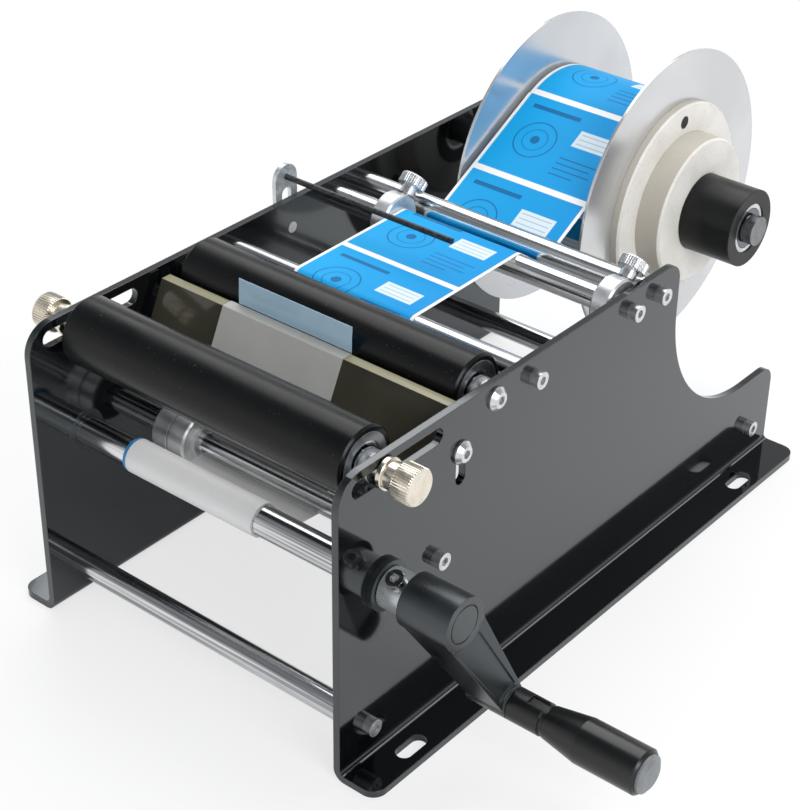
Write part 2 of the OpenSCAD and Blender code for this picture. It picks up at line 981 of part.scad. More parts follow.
module grip_cap() {
    color("#9a9ea1")
        turned([[0, grip_x1], [grip_cap_r, grip_x1], [grip_cap_r, grip_x1 + grip_cap_t / 2],
            [grip_cap_r - grip_cap_edge, grip_x1 + grip_cap_t], [0, grip_x1 + grip_cap_t]], tip_at);
}

// Reel: fixed shaft, turning mandrel, two flanged discs and the label roll
module reel_shaft() {
    color("#9a9da0") {
        rod_x(reel_shaft_r, -x_out - reel_nut_h - cut, mandrel_x1 + clear, reel_at);
        rod_x(reel_shoulder_r, -x_in, mandrel_x0 - clear, reel_at);
        rod_x(reel_head_r, mandrel_x1 + clear, mandrel_x1 + clear + reel_head_h, reel_at);
    }
}

module reel_nut() {
    color("#8f9296")
        difference() {
            translate([-x_out - reel_nut_h, fy(reel_at[0]), reel_at[1]])
                rotate([0, 90, 0])
                    cylinder(r = reel_nut_r, h = reel_nut_h, $fn = 6);
            rod_x(reel_shaft_r, -x_out - reel_nut_h - cut, cut - x_out, reel_at);
        }
}

module mandrel() {
    depth = reel_bearing_w + reel_bearing_sink;
    color("#1d1e20")
        turned([[reel_bearing_r, mandrel_x0], [mandrel_r, mandrel_x0], [mandrel_r, mandrel_x1],
            [reel_bearing_r, mandrel_x1], [reel_bearing_r, mandrel_x1 - depth],
            [mandrel_bore_r, mandrel_x1 - depth], [mandrel_bore_r, mandrel_x0 + depth],
            [reel_bearing_r, mandrel_x0 + depth]], reel_at);
}

module mandrel_bearings() {
    color("#d0d2d4")
        for (x = [mandrel_x0 + reel_bearing_sink, mandrel_x1 - reel_bearing_sink - reel_bearing_w])
            difference() {
                rod_x(reel_bearing_r, x, x + reel_bearing_w, reel_at);
                rod_x(reel_shaft_r + run_gap, x - cut, x + reel_bearing_w + cut, reel_at);
            }
}

module hub_screw_holes(x0, x1, r) {
    for (a = [90, 210, 330])
        rod_x(r, x0, x1, reel_at + hub_screw_at * [cos(a), sin(a)], $fn = small_fn);
}

module disc(x0, bore) {
    color("#d6d8db")
        difference() {
            rod_x(disc_r, x0, x0 + disc_t, reel_at, $fn = 128);
            rod_x(bore, x0 - cut, x0 + disc_t + cut, reel_at);
            hub_screw_holes(x0 - cut, x0 + disc_t + cut, hub_screw_r);
        }
}

module hub(x0, bore) {
    x1 = x0 + hub_flange_t;
    x2 = x1 + hub_boss_l;
    color("#e6e1d6")
        difference() {
            turned([[bore, x0], [hub_flange_r, x0], [hub_flange_r, x1 - hub_edge],
                [hub_flange_r - hub_edge, x1], [hub_boss_r, x1], [hub_boss_r, x2 - hub_edge],
                [hub_boss_r - hub_edge, x2], [bore, x2]], reel_at);
            hub_screw_holes(x0 - cut, x1 + cut, hub_screw_r);
            hub_screw_holes(x1 - hub_screw_head_h, x1 + cut, hub_screw_head_r);
        }
}

module hub_screws(x_disc, x0) {
    x1 = x0 + hub_flange_t;
    color("#3a3b3d") {
        hub_screw_holes(x_disc, x1 - hub_screw_head_h, hub_screw_r);
        hub_screw_holes(x1 - hub_screw_head_h, x1, hub_screw_head_r);
    }
}

module left_disc() {
    disc(left_disc_x, mandrel_r);
}

module right_disc() {
    disc(right_disc_x, mandrel_r + run_gap);
}

module left_hub() {
    mirror([1, 0, 0])
        hub(-left_disc_x, mandrel_r);
}

module right_hub() {
    hub(right_disc_x + disc_t, mandrel_r + run_gap);
}

module left_hub_screws() {
    mirror([1, 0, 0])
        hub_screws(-left_disc_x - disc_t, -left_disc_x);
}

module right_hub_screws() {
    hub_screws(right_disc_x, right_disc_x + disc_t);
}

module label_core() {
    color("#b08a5e")
        difference() {
            rod_x(mandrel_r + core_t, web_x0 - core_extra, web_x1 + core_extra, reel_at);
            rod_x(mandrel_r, web_x0 - cut, web_x1 + cut, reel_at);
        }
}

module label_roll() {
    color("#1fa8ee")
        difference() {
            rod_x(roll_r, web_x0, web_x1, reel_at, $fn = 128);
            rod_x(mandrel_r + core_t, web_x0 - cut, web_x1 + cut, reel_at);
        }
}

// Label web from the reel to the peel edge, and the bare liner from there on
module label_web() {
    color("#35b4f2")
        drawn_yz(web_x0, web_x1)
            polygon(strip(label_path, web_t));
}

module peel_web() {
    color("#b4b3ab")
        drawn_yz(web_x0, web_x1)
            polygon(strip(peel_path, web_t));
}

module liner_return() {
    color("#d8d8d4")
        drawn_yz(web_x0, web_x1)
            polygon(strip(liner_path, web_t));
}

module dispensed_label() {
    y0 = turn_edge[0][0] + edge_turn - web_t / 2;
    z0 = turn_edge[0][1] + edge_turn + web_t;
    color("#86bccf")
        drawn_yz(label_x0, label_x1)
            translate([y0, z0])
                square([web_t, label_out]);
}

// Wire finger over the web, held by a slotted strip on the left plate
module finger_bracket() {
    x1 = -x_out - slide_gap;
    color("#b3b5b6")
        difference() {
            drawn_yz(x1 - finger_t, x1)
                difference() {
                    union() {
                        translate([finger_y - finger_w / 2, finger_z0])
                            square([finger_w, finger_z1 - finger_w / 2 - finger_z0]);
                        translate([finger_y, finger_z1 - finger_w / 2])
                            circle(d = finger_w);
                    }
                    translate([finger_y, (finger_slot[0] + finger_slot[1]) / 2])
                        rotate(90)
                            slot_2d(finger_slot[1] - finger_slot[0], finger_slot_w);
                }
            rod_x(wire_r, x1 - finger_t - cut, x1 + cut, [finger_y, wire_z], $fn = small_fn);
        }
}

module finger_wire() {
    color("#4b4d50")
        rod_x(wire_r, -x_out - slide_gap - finger_t, wire_x1, [finger_y, wire_z], $fn = small_fn);
}

module finger_screw() {
    color("#c2c5c8")
        mirror([1, 0, 0])
            button_screw([finger_y, finger_screw_z], x_in, x_out + 2 * slide_gap + finger_t);
}

right_side_plate();
left_side_plate();
front_tie_rod();
rear_tie_rod();
liner_rod();
feed_rod();
guide_rod();
upper_rod();
rod_screws();
liner_collar();
label_guide_left();
label_guide_right();
thumb_screw_left();
thumb_screw_right();
rear_roller_core();
rear_roller_sleeve();
rear_roller_bearings();
rear_axle();
rear_axle_screws();
front_roller_core();
front_roller_sleeve();
front_roller_bearings();
front_axle();
knob_right();
knob_left();
peel_plate();
peel_blocks();
peel_screws();
crank_shaft();
shaft_clip();
shaft_bushes();
takeup_roll();
clamp_sleeve();
clamp_screw();
crank_arm();
handle_spindle();
handle_grip();
grip_cap();
reel_shaft();
reel_nut();
mandrel();
mandrel_bearings();
left_disc();
right_disc();
left_hub();
right_hub();
left_hub_screws();
right_hub_screws();
label_core();
label_roll();
label_web();
peel_web();
liner_return();
dispensed_label();
finger_bracket();
finger_wire();
finger_screw();
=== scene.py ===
import math
import bpy
from mathutils import Matrix, Vector


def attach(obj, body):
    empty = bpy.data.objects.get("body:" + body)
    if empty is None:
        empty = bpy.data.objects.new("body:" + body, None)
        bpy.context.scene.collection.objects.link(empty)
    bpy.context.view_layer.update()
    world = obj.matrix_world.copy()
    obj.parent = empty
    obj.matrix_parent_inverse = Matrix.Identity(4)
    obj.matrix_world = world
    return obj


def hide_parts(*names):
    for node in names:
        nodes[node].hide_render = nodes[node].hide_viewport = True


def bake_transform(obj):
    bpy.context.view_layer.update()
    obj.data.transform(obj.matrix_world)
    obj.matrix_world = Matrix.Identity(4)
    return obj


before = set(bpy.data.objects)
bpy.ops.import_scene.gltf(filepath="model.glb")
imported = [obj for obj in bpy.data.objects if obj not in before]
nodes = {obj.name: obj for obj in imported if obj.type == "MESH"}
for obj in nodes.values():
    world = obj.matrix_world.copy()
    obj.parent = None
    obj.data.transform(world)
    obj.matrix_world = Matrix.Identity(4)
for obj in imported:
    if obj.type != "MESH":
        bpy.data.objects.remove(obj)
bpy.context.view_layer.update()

scene = bpy.context.scene

# Camera: a long lens at the right front of the machine, nearly a metre away and well above
# it. It looks down on the rollers and is level to within a degree.
turn = math.radians(39.295)
rise = math.radians(32.378)
roll = math.radians(0.75)
stand = Vector((0.4410, -0.5597, 0.5108))
back = Vector((math.sin(turn) * math.cos(rise), -math.cos(turn) * math.cos(rise), math.sin(rise)))
level = Vector((math.cos(turn), math.sin(turn), 0.0))
upright = back.cross(level)
side = level * math.cos(roll) + upright * math.sin(roll)
top = upright * math.cos(roll) - level * math.sin(roll)
lens = bpy.data.cameras.new("camera")
lens.sensor_width = 36.0
lens.lens = 89.72
lens.clip_start = 0.05
lens.clip_end = 20.0
camera = bpy.data.objects.new("camera", lens)
pose = Matrix((side, top, back)).transposed().to_4x4()
pose.translation = stand
camera.matrix_world = pose
scene.collection.objects.link(camera)
scene.camera = camera
scene.view_settings.view_transform = "Standard"


# Studio: a white table that runs off to a white backdrop under a greyer ceiling, with one
# large soft light above the rear and one to the right. Mirrors and the camera see the
# backdrop's white; the table keeps a faint shadow, and a deeper one in mirrors.
def rgb(code):
    """A linear colour from an sRGB hex code."""
    parts = [int(code[i:i + 2], 16) / 255 for i in (0, 2, 4)]
    return (*[c / 12.92 if c <= 0.04045 else ((c + 0.055) / 1.055) ** 2.4 for c in parts], 1.0)


def add(tree, kind, out, sockets, **settings):
    """Adds a shader node, sets or links its sockets and gives back one of its outputs.

    A Mix node's two colours are its sockets 6 and 7, and the mixed colour is its output 2.
    """
    new = tree.nodes.new("ShaderNode" + kind)
    for key, value in settings.items():
        setattr(new, key, value)
    for key, value in sockets.items():
        if isinstance(value, bpy.types.NodeSocket):
            tree.links.new(value, new.inputs[key])
        else:
            new.inputs[key].default_value = value
    return new.outputs[out]


def seen_directly(tree):
    """1 for what the camera or a mirror shows, 0 for what only lights the object."""
    camera_ray = add(tree, "LightPath", "Is Camera Ray", {})
    path = camera_ray.node.outputs
    seen = add(tree, "Math", 0, {0: camera_ray, 1: path["Is Glossy Ray"]}, operation="ADD")
    return add(tree, "Math", 0, {0: seen, 1: path["Is Transmission Ray"]}, operation="ADD", use_clamp=True)


world = bpy.data.worlds.new("studio")
world.use_nodes = True
scene.world = world
sky = world.node_tree
height = add(sky, "SeparateXYZ", 2, {0: add(sky, "TexCoord", "Generated", {})})
overhead = add(sky, "MapRange", 0, {"Value": height, "From Min": 0.1, "From Max": 0.75})
backdrop = add(sky, "Mix", 2, {0: overhead, 6: rgb("FFFFFF"), 7: rgb("7C7F83")}, data_type="RGBA")
shade = add(sky, "Mix", 2, {0: seen_directly(sky), 6: rgb("B6B8BB"), 7: backdrop}, data_type="RGBA")
sky.links.new(shade, sky.nodes["Background"].inputs["Color"])


def soft_light(name, place, aim, size, power):
    """A rectangular lamp at a place, turned to what it is aimed at."""
    lamp = bpy.data.lights.new(name, "AREA")
    lamp.shape = "RECTANGLE"
    lamp.size, lamp.size_y = size
    lamp.energy = power
    new = bpy.data.objects.new(name, lamp)
    new.location = place
    new.rotation_euler = (Vector(aim) - Vector(place)).to_track_quat("-Z", "Y").to_euler()
    scene.collection.objects.link(new)


soft_light("top_light", place=(-0.25, 0.6, 1.25), aim=(0.0, 0.0, 0.1), size=(1.6, 1.2), power=17.0)
soft_light("right_light", place=(1.25, -0.45, 0.8), aim=(0.0, 0.0, 0.08), size=(0.8, 0.8), power=11.0)

# One millimetre in metres, and where the plates' front edge lies in the frame, in millimetres.
MM = 0.001
FRONT = -148.0


def build(name, points, faces, body, mats, picks=None, uvs=None):
    """A smooth mesh in millimetres from the plates' front edge, riding on a CAD body."""
    data = bpy.data.meshes.new(name)
    data.from_pydata([(x * MM, (y + FRONT) * MM, z * MM) for x, y, z in points], [], faces)
    for mat in mats:
        data.materials.append(mat)
    for i, polygon in enumerate(data.polygons):
        polygon.use_smooth = True
        polygon.material_index = picks[i] if picks else 0
    if uvs:
        layer = data.uv_layers.new(name="sheet")
        for loop in data.loops:
            layer.data[loop.index].uv = uvs[loop.vertex_index]
    data.validate()
    piece = bpy.data.objects.new(name, data)
    scene.collection.objects.link(piece)
    if body:
        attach(piece, body)
    return piece


# Matt white paint on the table: hardly any sheen, and faint clouds of tone 400 mm across. It
# pales into the backdrop from half a metre on, so that no edge shows behind the machine.
TABLE_CLOUD = 400.0
TABLE_REACH = 3000.0
TABLE_TOP = -0.05
table_paint = bpy.data.materials.new("matt white table paint")
table_paint.use_nodes = True
table = table_paint.node_tree
table_shader = table.nodes["Principled BSDF"]
table_shader.inputs["Roughness"].default_value = 0.55
where = add(table, "TexCoord", "Object", {})
clouds = add(table, "TexNoise", 0, {"Vector": where, "Scale": 1000.0 / TABLE_CLOUD})
tone = add(table, "Mix", 2, {0: clouds, 6: rgb("F1F1F2"), 7: rgb("F7F7F7")}, data_type="RGBA")
table.links.new(tone, table_shader.inputs["Base Color"])
around = add(table, "AmbientOcclusion", "AO", {"Distance": 0.25}, samples=8)
by_camera = add(table, "LightPath", "Is Camera Ray", {})
around = add(table, "Math", 0, {0: around, 1: by_camera}, operation="MAXIMUM")
whiten = add(table, "Math", 0, {0: around, 1: seen_directly(table)}, operation="MULTIPLY")
far = add(table, "VectorMath", 1, {0: where}, operation="LENGTH")
share = add(table, "MapRange", 0, {
    "Value": far, "From Min": 0.5, "From Max": 1.5, "To Min": 0.7, "To Max": 1.0})
whiten = add(table, "Math", 0, {0: whiten, 1: share}, operation="MULTIPLY")
white = add(table, "Emission", 0, {"Strength": 1.0})
surface = add(table, "MixShader", 0, {0: whiten, 1: table_shader.outputs[0], 2: white})
table.links.new(surface, table.nodes["Material Output"].inputs["Surface"])
corners = [(x * TABLE_REACH, y * TABLE_REACH, TABLE_TOP) for x, y in ((-1, -1), (1, -1), (1, 1), (-1, 1))]
build("floor", corners, [(0, 1, 2, 3)], None, [table_paint])


# Side plates: 3 mm steel sheet, laser cut, the foot flange folded outwards. Stoved gloss
# enamel under a clear coat: black, with mirror images of what stands beside it, which the
# sprayed coat's faint waves of 3 mm make a little unsteady.
class Finish:
    """A material of cloudy colour and gloss with a fine grain.

    The colour lies between dark and light, the roughness between the two values of rough.
    Sizes are in millimetres: cloud and grain are the widths of the patterns, depth is the
    height of the grain and edge rounds off sharp edges. worn is the colour of rubbed edges.
    """

    def __init__(self, name, dark, light, *, cloud, rough, grain, depth, edge=0.0, worn=None, **sockets):
        self.mat = bpy.data.materials.new(name)
        self.mat.use_nodes = True
        self.tree = self.mat.node_tree
        self.shader = self.tree.nodes["Principled BSDF"]
        self.where = add(self.tree, "TexCoord", "Object", {})
        clouds = add(self.tree, "TexNoise", 0, {"Vector": self.where, "Scale": 1000.0 / cloud, "Detail": 3.0})
        share = add(self.tree, "MapRange", 0, {"Value": clouds, "From Min": 0.35, "From Max": 0.65})
        self.colour = add(self.tree, "Mix", 2, {0: share, 6: rgb(dark), 7: rgb(light)}, data_type="RGBA")
        self.link("Roughness", add(self.tree, "MapRange", 0, {
            "Value": clouds, "From Min": 0.3, "From Max": 0.7, "To Min": rough[0], "To Max": rough[1]}))
        for key, value in sockets.items():
            self.shader.inputs[key.replace("_", " ")].default_value = value
        pits = add(self.tree, "TexNoise", 0, {"Vector": self.where, "Scale": 1000.0 / grain, "Detail": 3.0})
        relief = {"Height": pits, "Distance": depth * MM}
        if edge:
            round_edge = add(self.tree, "Bevel", 0, {"Radius": edge * MM}, samples=4)
            relief["Normal"] = round_edge
        if worn:
            flat = add(self.tree, "NewGeometry", "Normal", {})
            lean = add(self.tree, "VectorMath", 1, {0: round_edge, 1: flat}, operation="DOT_PRODUCT")
            rubbed = add(self.tree, "MapRange", 0, {
                "Value": lean, "From Min": 0.97, "From Max": 0.8, "To Max": 0.5})
            worn_mix = {0: rubbed, 6: self.colour, 7: rgb(worn)}
            self.colour = add(self.tree, "Mix", 2, worn_mix, data_type="RGBA")
        self.link("Base Color", self.colour)
        self.normal = add(self.tree, "Bump", 0, relief)
        self.link("Normal", self.normal)

    def link(self, socket, value):
        self.tree.links.new(value, self.shader.inputs[socket])


def paint(finish, *names):
    """Gives CAD nodes a finish in place of the one that they came with."""
    for name in names:
        nodes[name].data.materials.clear()
        nodes[name].data.materials.append(finish.mat)


enamel = Finish("gloss black enamel", "08090A", "0D0E0F", cloud=80.0, rough=(0.06, 0.1), grain=3.0,
                depth=0.006, edge=0.5, IOR=1.68, Specular_Tint=rgb("EFFAFF"), Coat_Weight=0.25,
                Coat_Roughness=0.02)
paint(enamel, "right_side_plate", "left_side_plate")

# Rods and crank shaft: drawn bar of 10 and 12 mm, plated like the crank's clamp screw. Hard
# chrome is a bright mirror with long light and dark draw lines. They are a few hundredths of
# a millimetre wide on the real bar, and drawn 1.2 mm wide here so that they show.
DRAW_LINE = 1.2
LINE_STRETCH = (0.01, 1.0, 1.0)
chrome = Finish("hard chrome plate", "D0D2D4", "E0E2E3", cloud=30.0, rough=(0.14, 0.2), grain=0.5,
                depth=0.001, edge=0.3, Metallic=1.0)
drawn = add(chrome.tree, "VectorMath", 0, {0: chrome.where, 1: LINE_STRETCH}, operation="MULTIPLY")
drawn = add(chrome.tree, "TexNoise", 0, {"Vector": drawn, "Scale": 1000.0 / DRAW_LINE, "Detail": 2.0})
drawn = add(chrome.tree, "MapRange", 0, {"Value": drawn, "From Min": 0.4, "From Max": 0.54})
lined = add(chrome.tree, "Mix", 2, {0: drawn, 6: rgb("97999B"), 7: chrome.colour}, data_type="RGBA")
chrome.link("Base Color", lined)
paint(chrome, "front_tie_rod", "rear_tie_rod", "liner_rod", "feed_rod", "guide_rod", "upper_rod",
      "crank_shaft", "clamp_screw")

# Screws and axles: socket heads at the rods, button heads at the rear axle, the peel plate
# and the wire finger, turned axles and the reel's nut. Bright steel under a fine haze; its
# turning marks are drawn 0.4 mm wide, far coarser than the real ones, so that they show.
steel = Finish("turned bright steel", "C6C8CA", "DCDEE0", cloud=3.0, rough=(0.18, 0.28), grain=0.4,
               depth=0.003, edge=0.25, Metallic=0.88)
paint(steel, "rod_screws", "rear_axle_screws", "peel_screws", "finger_screw",
      "rear_axle", "front_axle", "handle_spindle", "reel_nut")

# Small black parts: the screws in the hubs and the clip on the crank shaft's far end.
# Blackened steel: dark, with a dull shine.
blackened = Finish("blackened steel", "17181A", "26282A", cloud=4.0, rough=(0.3, 0.45), grain=0.5,
                   depth=0.004, Metallic=0.8)
paint(blackened, "left_hub_screws", "right_hub_screws", "shaft_clip")

# Rollers: aluminium tubes on ball bearings under a rubber sleeve 2.5 mm thick. The turned tube
# shows a dull silver at the ends only; the ground rubber is a deep black with a soft, long
# highlight and a few specks of dust.
DUST = 0.9
tube = Finish("turned aluminium tube", "8E9194", "A2A5A8", cloud=5.0, rough=(0.28, 0.38), grain=0.4,
              depth=0.005, edge=0.4, Metallic=1.0)
paint(tube, "front_roller_core", "rear_roller_core")
rubber = Finish("ground black rubber", "0A0B0C", "0F1011", cloud=25.0, rough=(0.22, 0.3), grain=0.35,
                depth=0.005, edge=0.6, IOR=1.31)
dust = add(rubber.tree, "TexNoise", 0, {"Vector": rubber.where, "Scale": 1000.0 / DUST, "Detail": 1.0})
dust = add(rubber.tree, "MapRange", 0, {"Value": dust, "From Min": 0.74, "From Max": 0.8, "To Max": 0.4})
dusty = add(rubber.tree, "Mix", 2, {0: dust, 6: rubber.colour, 7: rgb("6A6E70")}, data_type="RGBA")
rubber.link("Base Color", dusty)
paint(rubber, "front_roller_sleeve", "rear_roller_sleeve")

# Ball bearings: pressed into the ends of both rollers and of the reel's mandrel. Ground rings
# of bearing steel, bright and smooth, with a darker pressed shield sunk between them. An axis
# is given by its y from the plates' front edge and its z.
FRONT_ROLLER = (24.5, 124.0)
REAR_ROLLER = (86.5, 124.0)
REEL = (282.0, 112.0)
SHIELD_SHARE = 0.44
SHIELD_SUNK = 0.4
SHIELD_BLUR = 0.1


def bearing(node, place, inner, outer):
    """Bearings round an axis, with the radii of their bore and of their outside."""
    new = Finish("ground bearing steel", "B9BCBF", "D8DADC", cloud=4.0, rough=(0.12, 0.2), grain=0.4,
                 depth=0.003, Metallic=1.0)
    flat = add(new.tree, "VectorMath", 0, {0: new.where, 1: (0.0, 1.0, 1.0)}, operation="MULTIPLY")
    axis = (0.0, (place[0] + FRONT) * MM, place[1] * MM)
    radius = add(new.tree, "VectorMath", 1, {0: flat, 1: axis}, operation="DISTANCE")
    middle = (inner + outer) / 2 * MM
    half = SHIELD_SHARE * (outer - inner) / 2 * MM
    blur = SHIELD_BLUR * MM
    off = add(new.tree, "Math", 0, {0: radius, 1: middle}, operation="SUBTRACT")
    off = add(new.tree, "Math", 0, {0: off}, operation="ABSOLUTE")
    shield = add(new.tree, "MapRange", 0, {"Value": off, "From Min": half + blur, "From Max": half - blur})
    tint = add(new.tree, "Mix", 2, {0: shield, 6: new.colour, 7: rgb("6E7174")}, data_type="RGBA")
    new.link("Base Color", tint)
    relief = {"Height": shield, "Distance": SHIELD_SUNK * MM, "Normal": new.normal}
    new.link("Normal", add(new.tree, "Bump", 0, relief, invert=True))
    paint(new, node)


bearing("front_roller_bearings", FRONT_ROLLER, inner=4.0, outer=8.0)
bearing("rear_roller_bearings", REAR_ROLLER, inner=4.0, outer=8.0)
bearing("mandrel_bearings", REEL, inner=4.0, outer=11.0)

# Peel plate: 4 mm smoked acrylic between two milled end blocks. The polished faces are a murky
# olive; the sawn top bevel gathers light and shows paler. The blocks are satin anodised
# aluminium, pale with a soft sheen.
acrylic = Finish("smoked acrylic", "38362D", "444238", cloud=40.0, rough=(0.06, 0.12), grain=3.0,
                 depth=0.002, edge=0.3, IOR=1.49)
up = add(acrylic.tree, "SeparateXYZ", 2, {0: add(acrylic.tree, "NewGeometry", "Normal", {})})
sawn = add(acrylic.tree, "MapRange", 0, {"Value": up, "From Min": 0.8, "From Max": 0.95})
olive = add(acrylic.tree, "Mix", 2, {0: sawn, 6: acrylic.colour, 7: rgb("8E8A70")}, data_type="RGBA")
acrylic.link("Base Color", olive)
paint(acrylic, "peel_plate")
satin = Finish("satin anodised aluminium", "D6D8D9", "E6E8E9", cloud=6.0, rough=(0.3, 0.42), grain=0.35,
               depth=0.005, edge=0.4, Metallic=0.85)
paint(satin, "peel_blocks")

# Guides: two turned rings and a collar that slide along the rods, in the same aluminium as
# the peel plate's blocks. The finger's slotted strip and the crank's clamp are zinc plated,
# blue-grey and a little cloudy; the finger itself is dark drawn wire with a dull glint.
paint(satin, "liner_collar", "label_guide_left", "label_guide_right")
zinc = Finish("zinc plate", "C8CDCF", "DEE2E4", cloud=5.0, rough=(0.22, 0.36), grain=0.8,
              depth=0.005, edge=0.3, Metallic=0.75)
paint(zinc, "clamp_sleeve", "finger_bracket")
wire = Finish("dark drawn wire", "2B2D2F", "45484B", cloud=2.0, rough=(0.25, 0.4), grain=0.6,
              depth=0.004, Metallic=0.7)
paint(wire, "finger_wire")

# Knobs and thumb screws: turned bar with a straight knurl, coarser than the real one so that
# it shows. Two nickel plated knobs, a warm white mirror that the teeth break up, clamp the
# front axle; two thumb screws of bare bright steel lean back out of the label guides.
GUIDE_ROD = (173.5, 122.6)
TOOTH_STEPS = 4
nickel = Finish("nickel plate", "D8D0C0", "ECE5D7", cloud=6.0, rough=(0.2, 0.3), grain=0.5,
                depth=0.004, Metallic=1.0)


def turned(name, body, centre, way, profile, mat, teeth, depth=0.0, ring=False):
    """A lathe piece: profile rows hold a radius, a place along the axis and 1 where knurled."""
    axis = Vector(way)
    across = axis.orthogonal().normalized()
    third = axis.cross(across)
    steps = teeth * TOOTH_STEPS
    points = []
    for radius, along, knurl in profile:
        for k in range(steps):
            angle = math.tau * k / steps
            r = radius - depth * knurl * (k % TOOTH_STEPS < TOOTH_STEPS / 2)
            out = math.cos(angle) * across + math.sin(angle) * third
            points.append(Vector(centre) + along * axis + r * out)
    rows = len(profile)
    faces = []
    for i in range(rows if ring else rows - 1):
        low, high = i * steps, (i + 1) % rows * steps
        for k in range(steps):
            n = (k + 1) % steps
            faces.append((low + k, low + n, high + n, high + k))
    if not ring:
        faces.append(tuple(reversed(range(steps))))
        faces.append(tuple(range((rows - 1) * steps, rows * steps)))
    new = build(name, points, faces, body, [mat])
    new.data.set_sharp_from_angle(angle=math.radians(25))
    return new


knob = [(6.0, 78.3, 0), (6.25, 78.6, 0), (6.25, 80.2, 0), (6.0, 80.5, 0), (5.3, 80.5, 0),
        (5.3, 85.2, 0), (6.7, 85.2, 0), (7.2, 85.7, 1), (7.2, 92.7, 1), (6.7, 93.2, 0)]
for name, way in (("right", 1.0), ("left", -1.0)):
    new = turned("knob_%s_knurl" % name, "%s_knob" % name, (0.0, *FRONT_ROLLER),
                 (way, 0.0, 0.0), knob, nickel.mat, teeth=44, depth=0.3)
    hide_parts("knob_%s" % name)
thumb = [(2.0, 5.3, 0), (2.0, 11.3, 0), (3.5, 11.3, 0), (3.5, 14.9, 0), (5.4, 14.9, 0),
         (5.95, 15.4, 1), (5.95, 19.4, 1), (5.4, 19.9, 0)]
lean_back = math.radians(48.0)
for name, x in (("left", -42.9), ("right", 68.8)):
    new = turned("thumb_%s_knurl" % name, "%s_thumb_screw" % name, (x, *GUIDE_ROD),
                 (0.0, math.sin(lean_back), math.cos(lean_back)), thumb, steel.mat, teeth=36, depth=0.26)
    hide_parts("thumb_screw_%s" % name)

# Crank: an arm and bushes moulded in glass-filled nylon, with a fine grain and a low sheen; a
# polished phenolic grip that spins on its spindle, glossy and nearly black; a plain grey nylon
# cap pressed into the grip's end.
nylon = Finish("moulded black nylon", "121416", "191B1D", cloud=12.0, rough=(0.27, 0.35), grain=0.5,
               depth=0.006, edge=0.6, worn="34383A", IOR=1.76, Specular_Tint=rgb("EFFAFF"))
paint(nylon, "crank_arm", "shaft_bushes")
phenolic = Finish("polished black phenolic", "0A0B0C", "101112", cloud=30.0, rough=(0.22, 0.3), grain=2.0,
                  depth=0.003, edge=0.5, worn="26282A")
paint(phenolic, "handle_grip")
grey_nylon = Finish("grey nylon", "6F7376", "7C8083", cloud=5.0, rough=(0.4, 0.5), grain=0.6,
                    depth=0.004, edge=0.4)
paint(grey_nylon, "grip_cap")

# Reel: discs of polished steel sheet that mirror the roll softly, screwed to hubs of off-white
# moulded ABS with a faint speckle and painted shade darkening their rims. They sit on a low-sheen mandrel of
# turned black acetal with a dull brown cardboard core, which runs on a dull, oiled bolt.
SPECK = 1.1
sheet_steel = Finish("polished sheet steel", "CBCDCE", "DADBDC", cloud=60.0, rough=(0.18, 0.28), grain=0.3,
                     depth=0.0008, edge=0.2, Metallic=0.7)
paint(sheet_steel, "left_disc", "right_disc")
ivory = Finish("off-white moulded ABS", "DCD9D2", "E8E5E0", cloud=15.0, rough=(0.45, 0.6), grain=0.8,
               depth=0.012, edge=0.8, worn="AA9F8C")
specks = add(ivory.tree, "TexNoise", 0, {"Vector": ivory.where, "Scale": 1000.0 / SPECK, "Detail": 1.0})
specks = add(ivory.tree, "MapRange", 0, {"Value": specks, "From Min": 0.62, "From Max": 0.78, "To Max": 0.3})
speckled = add(ivory.tree, "Mix", 2, {0: specks, 6: ivory.colour, 7: rgb("9C9079")}, data_type="RGBA")
# Painted shade: the hubs' rims, the side walls that face across the axle, are darkened to a grey-brown.
facing = add(ivory.tree, "SeparateXYZ", 0, {0: add(ivory.tree, "NewGeometry", "Normal", {})})
facing = add(ivory.tree, "Math", 0, {0: facing}, operation="ABSOLUTE")
painted_rim_shade = add(ivory.tree, "MapRange", 0, {"Value": facing, "From Min": 0.7, "From Max": 0.3, "To Max": 0.75})
rim_shaded = add(ivory.tree, "Mix", 2, {0: painted_rim_shade, 6: speckled, 7: rgb("B4AD9F")}, data_type="RGBA")
ivory.link("Base Color", rim_shaded)
paint(ivory, "left_hub", "right_hub")
acetal = Finish("turned black acetal", "0A0B0B", "101112", cloud=15.0, rough=(0.32, 0.42), grain=0.6,
                depth=0.005, edge=0.8, worn="2C2E30", IOR=1.38)
paint(acetal, "mandrel")
bolt_steel = Finish("oiled bolt steel", "7B7E81", "919497", cloud=3.0, rough=(0.34, 0.46), grain=0.4,
                    depth=0.004, edge=0.3, Metallic=1.0)
paint(bolt_steel, "reel_shaft")
board = Finish("wound cardboard", "A07B50", "B99669", cloud=4.0, rough=(0.7, 0.85), grain=0.5, depth=0.02)
paint(board, "label_core")

# Label roll: blue labels of 58 by 43.5 mm at a pitch of 46.5 mm on a white liner, wound on
# the core. The print is a plain design of rings, rules and a pale panel. Coated paper: an
# even colour under a soft sheen, with the label's edge standing up from the liner.
PITCH = 46.5
GAP = 3.0
FIRST_GAP = -2.0
LABEL = (58.0, PITCH - GAP)
LABEL_T = 0.08
WEB_X = (-38.6, 22.4)
BLUR = 0.12


